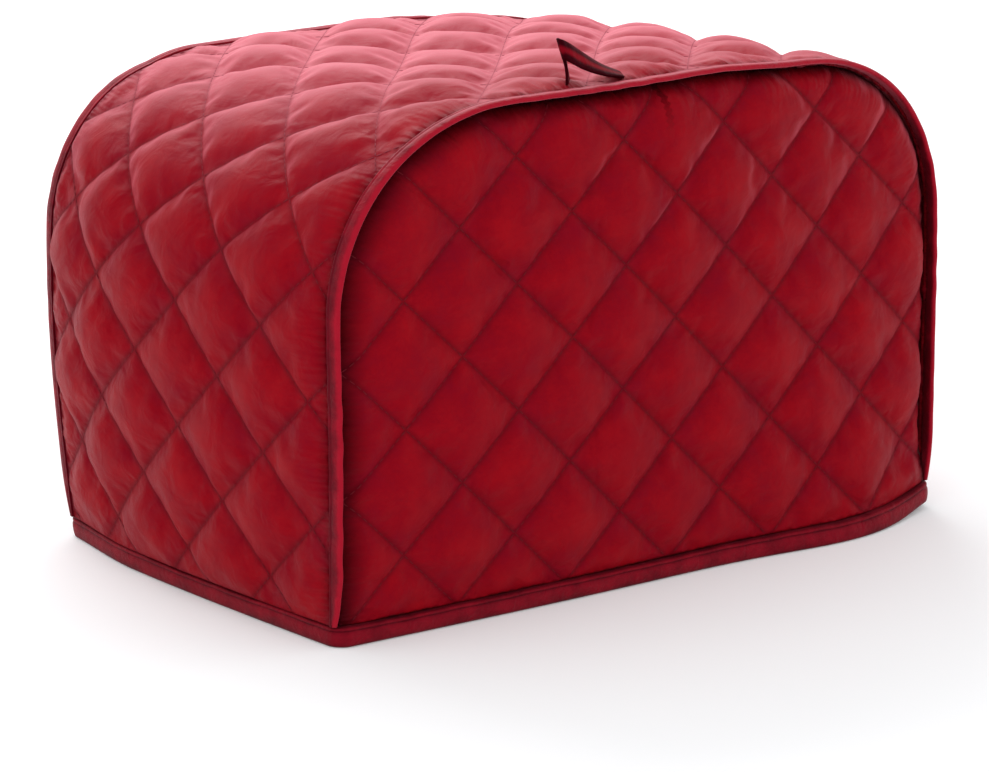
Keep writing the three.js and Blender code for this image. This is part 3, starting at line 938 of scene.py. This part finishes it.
def satinCloth(name):
    material, wire, shader = newMaterial(name)
    layout = wire.node("UVMap", {"uv_map": "flatLayout"}, {})
    patches = noise(wire, layout, 0.55, 3.0, 0.55)
    fine = noise(wire, layout, 5.0, 4.0, 0.6, 0.8)
    stitch = wire.amount("stitchShade")
    onTop = wire.amount("topShade")
    # random tone, with a little painted shade near the stitch lines
    tone = patches * 0.75 + fine * 0.3 - wire.amount("wrinkleShade") * 0.1
    stops = [(0.3, satin["cool"]), (0.47, satin["plain"]), (0.68, satin["warm"])]
    colour = wire.node("ValToRGB", {"stops": stops}, {"Fac": tone})
    colour = wire.mix(onTop ** 2 * 0.2, colour, satin["lit"])
    colour = withPaintedSheen(wire, colour, satin["paintedSheen"], *satin["paintedSheenMost"])
    dark, lessOnTop = satin["stitched"]
    # painted shade in the stitch grooves, weaker on top where the light falls
    colour = wire.mix(stitch * (dark - lessOnTop * onTop), colour, satin["stitchShadow"])
    # painted shadow along the rim beside the binding
    colour = wire.mix(wire.amount("seamShade") * 0.9, colour, satin["paintedGrooveShade"])
    warp, weft = [bands(wire, layout, way, satin["weave"], 0.4, 0.0) for way in "XY"]
    creases = noise(wire, layout, 1.0, 3.0, 0.5, 0.8)
    folds = noise(wire, layout, 0.7, 2.0, 0.5, 0.5, noise_type="RIDGED_MULTIFRACTAL")
    wrinkles = noise(wire, layout, 1.7, 0.6, 0.5, 0.4)
    gatherPlace = {0: wire.amount("alongSeam") * 0.46, 1: wire.amount("besideSeam") * 0.1}
    gathers = noise(wire, wire.node("CombineXYZ", {}, gatherPlace), 1.0, 0.0, noise_dimensions="2D")
    relief = creases * 0.95 + folds * 0.3 + wrinkles * (wire.amount("wrinkleShade") * 1.6 + 0.3)
    relief = relief + gathers * wire.amount("gatherShade") * 2.6 + (warp + weft) * 0.01
    normal = wire.node("Bump", {}, {"Height": relief, "Strength": 0.7, "Distance": satin["relief"]})
    roughness = satin["roughness"] + 0.12 * fine - 0.05 * patches + 0.1 * stitch
    feed(wire, shader, {"Base Color": colour, "Roughness": roughness, "Normal": normal},
         {"IOR": 1.2, "Specular Tint": (0.8, 0.16, 0.24, 1)})
    return material


# contrast is how much the painted light makes a tape's folded edge lighter than its sewn edge, and shine its
# index of refraction
# each look's sheen colour is painted sheen
tapeLooks = {
    "binding": {
        "dark": (0.12, 0.002, 0.008),
        "plain": (0.37, 0.007, 0.021),
        "paintedSheen": (0.7, 0.15, 0.2),
        "roughness": 0.46,
        "contrast": 0.5,
        "shine": 1.26,
    },
    "hem": {
        "dark": (0.09, 0.0014, 0.006),
        "plain": (0.25, 0.0045, 0.014),
        "paintedSheen": (0.5, 0.12, 0.16),
        "roughness": 0.5,
        "contrast": 0.4,
        "shine": 1.24,
    },
    "loop": {
        "dark": (0.035, 0.0006, 0.003),
        "plain": (0.22, 0.003, 0.010),
        "paintedSheen": (0.12, 0.005, 0.011),
        "roughness": 0.5,
        "contrast": 0.75,
        "shine": 1.12,
    },
}


def tapeCloth(name, look):
    material, wire, shader = newMaterial(name)
    layout = wire.node("UVMap", {"uv_map": "flatLayout"}, {})
    patches = noise(wire, layout, 1.0, 5.0, 0.62)
    # random tone, with painted light and shade across the tape's section
    tone = patches * 0.8 + (wire.amount("foldShade") - 0.5) * look["contrast"] + 0.08
    colour = wire.node("ValToRGB", {"stops": [(0.3, look["dark"]), (0.7, look["plain"])]}, {"Fac": tone})
    colour = withPaintedSheen(wire, colour, look["paintedSheen"], 0.55)
    ribs = bands(wire, layout, "DIAGONAL", 14.0, 0.5, 1.0)
    puckers = noise(wire, layout, 2.2, 3.0, 0.5, 0.9)
    normal = wire.node("Bump", {}, {"Height": puckers + ribs * 0.06, "Strength": 0.7, "Distance": 0.0012})
    roughness = look["roughness"] + 0.1 * patches
    feed(wire, shader, {"Base Color": colour, "Roughness": roughness, "Normal": normal},
         {"IOR": look["shine"], "Specular Tint": (0.8, 0.2, 0.28, 1), "Sheen Weight": 0.02,
          "Sheen Roughness": 0.4, "Sheen Tint": (1.0, 0.4, 0.5, 1)})
    return material


threadColours = {"dark": (0.09, 0.0014, 0.006), "plain": (0.19, 0.003, 0.010), "lit": (0.5, 0.09, 0.13)}


def threadLook(name):
    material, wire, shader = newMaterial(name)
    twist = noise(wire, wire.node("TexCoord", {}, {}, 3), 900.0, 1.0)
    colour = wire.mix(twist, threadColours["dark"], threadColours["plain"])
    colour = wire.mix(wire.amount("topShade") ** 3 * 0.7, colour, threadColours["lit"])
    normal = wire.node("Bump", {}, {"Height": twist, "Strength": 0.3, "Distance": 0.0001})
    feed(wire, shader, {"Base Color": colour, "Normal": normal},
         {"Roughness": 0.7, "Specular IOR Level": 0.2})
    return material


floorColours = ((0.90, 0.915, 0.92), (0.92, 0.93, 0.935))


def floorLook(name):
    material, wire, shader = newMaterial(name)
    mottle = noise(wire, wire.node("TexCoord", {}, {}, 3), 3.0, 2.0)
    colour = wire.mix(mottle, *floorColours)
    feed(wire, shader, {"Base Color": colour},
         {"Roughness": 0.8, "Specular IOR Level": 0.1, "Emission Color": (0.97, 0.99, 1.0, 1),
          "Emission Strength": 0.15})
    return material


def dress(piece, material):
    piece.data.materials.clear()
    piece.data.materials.append(material)


quiltSatin = satinCloth("quiltSatin")
bindingCloth = tapeCloth("bindingCloth", tapeLooks["binding"])
hemCloth = tapeCloth("hemCloth", tapeLooks["hem"])
loopCloth = tapeCloth("loopCloth", tapeLooks["loop"])
threadRed = threadLook("threadRed")
print("materials made")

# each piece with its material, its slot and the part's node that it replaces
pieces = [
    (frontCloth, quiltSatin, "quilted_cloth", "front_panel"),
    (backCloth, quiltSatin, "quilted_cloth", "back_panel"),
    (gussetCloth, quiltSatin, "quilted_cloth", "gusset"),
    (frontTape, bindingCloth, "binding_tape", "front_binding"),
    (backTape, bindingCloth, "binding_tape", "back_binding"),
    (hemTape, hemCloth, "binding_tape", "hem_binding"),
    (loopTape, loopCloth, "loop_tape", "top_loop"),
    (frontThread, threadRed, "quilted_cloth", None),
    (backThread, threadRed, "quilted_cloth", None),
    (gussetThread, threadRed, "quilted_cloth", None),
]
for piece, material, slot, node in pieces:
    piece.data.name = piece.name
    dress(piece, material)
    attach(piece, "root")
    if node:
        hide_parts(node)

# Floor, light and camera
stage = {
    "floor": 60.0,
    "floorHeight": -0.0002,
    "world": 0.9,  # how much light comes from the room all round
    "backdrop": 0.985,  # and how bright the camera sees it
}
bpy.ops.object.select_all(action="DESELECT")
bpy.ops.mesh.primitive_plane_add(size=stage["floor"], location=(0, 0, stage["floorHeight"]))
floor = bpy.context.object
floor.name = "paleFloor"
dress(floor, floorLook("paleFloor"))

world = bpy.data.worlds.new("paleRoom")
bpy.context.scene.world = world
world.use_nodes = True
room = Wire(world.node_tree)
background = world.node_tree.nodes["Background"]
seen = room.node("LightPath", {}, {})
brightness = seen * (stage["backdrop"] - stage["world"]) + stage["world"]
world.node_tree.links.new(brightness.socket, background.inputs["Strength"])
background.inputs["Color"].default_value = (0.985, 0.99, 1.0, 1)
bpy.context.scene.view_settings.view_transform = "Standard"


def softLight(name, place, target, size, power):
    lamp = bpy.data.lights.new(name, "AREA")
    lamp.shape = "RECTANGLE"
    lamp.size, lamp.size_y = size
    lamp.energy = power
    light = bpy.data.objects.new(name, lamp)
    light.location = place
    light.rotation_euler = (Vector(target) - Vector(place)).to_track_quat("-Z", "Y").to_euler()
    bpy.context.scene.collection.objects.link(light)


softLight("topLight", (0.4, 1.6, 1.5), (0, 0, 0.15), (1.8, 1.0), 23)
softLight("leftLight", (-1.7, 0.5, 1.8), (0, 0, 0.1), (1.0, 1.4), 3.5)
softLight("frontLight", (-0.2, -2.4, 1.8), (0, 0, 0.1), (1.2, 1.0), 5)

# the photo's camera, with its place from the middle of the plain box and its angles in radians
view = {
    "place": (-1239.43, -1578.10, 612.44),
    "yaw": 0.6657,
    "pitch": 0.2701,
    "roll": -0.0062,
    "lens": 186.4,
    "sensor": 36,
    "farthest": 200,
}
yaw, pitch, roll = view["yaw"], view["pitch"], view["roll"]
ahead = Vector((math.sin(yaw) * math.cos(pitch), math.cos(yaw) * math.cos(pitch), -math.sin(pitch)))
level = ahead.cross(Vector((0, 0, 1))).normalized()
upright = level.cross(ahead)
right = level * math.cos(roll) + upright * math.sin(roll)
upwards = -level * math.sin(roll) + upright * math.cos(roll)
camera = bpy.data.cameras.new("photoCamera")
camera.sensor_width = view["sensor"]
camera.lens = view["lens"]
camera.clip_end = view["farthest"]
eye = bpy.data.objects.new("photoCamera", camera)
turn = Matrix((right, upwards, -ahead)).transposed().to_4x4()
place = Vector(view["place"]) + Vector((*cover["middle"], 0))
eye.matrix_world = Matrix.Translation(place * metres) @ turn
bpy.context.scene.collection.objects.link(eye)
bpy.context.scene.camera = eye
print("stage set")
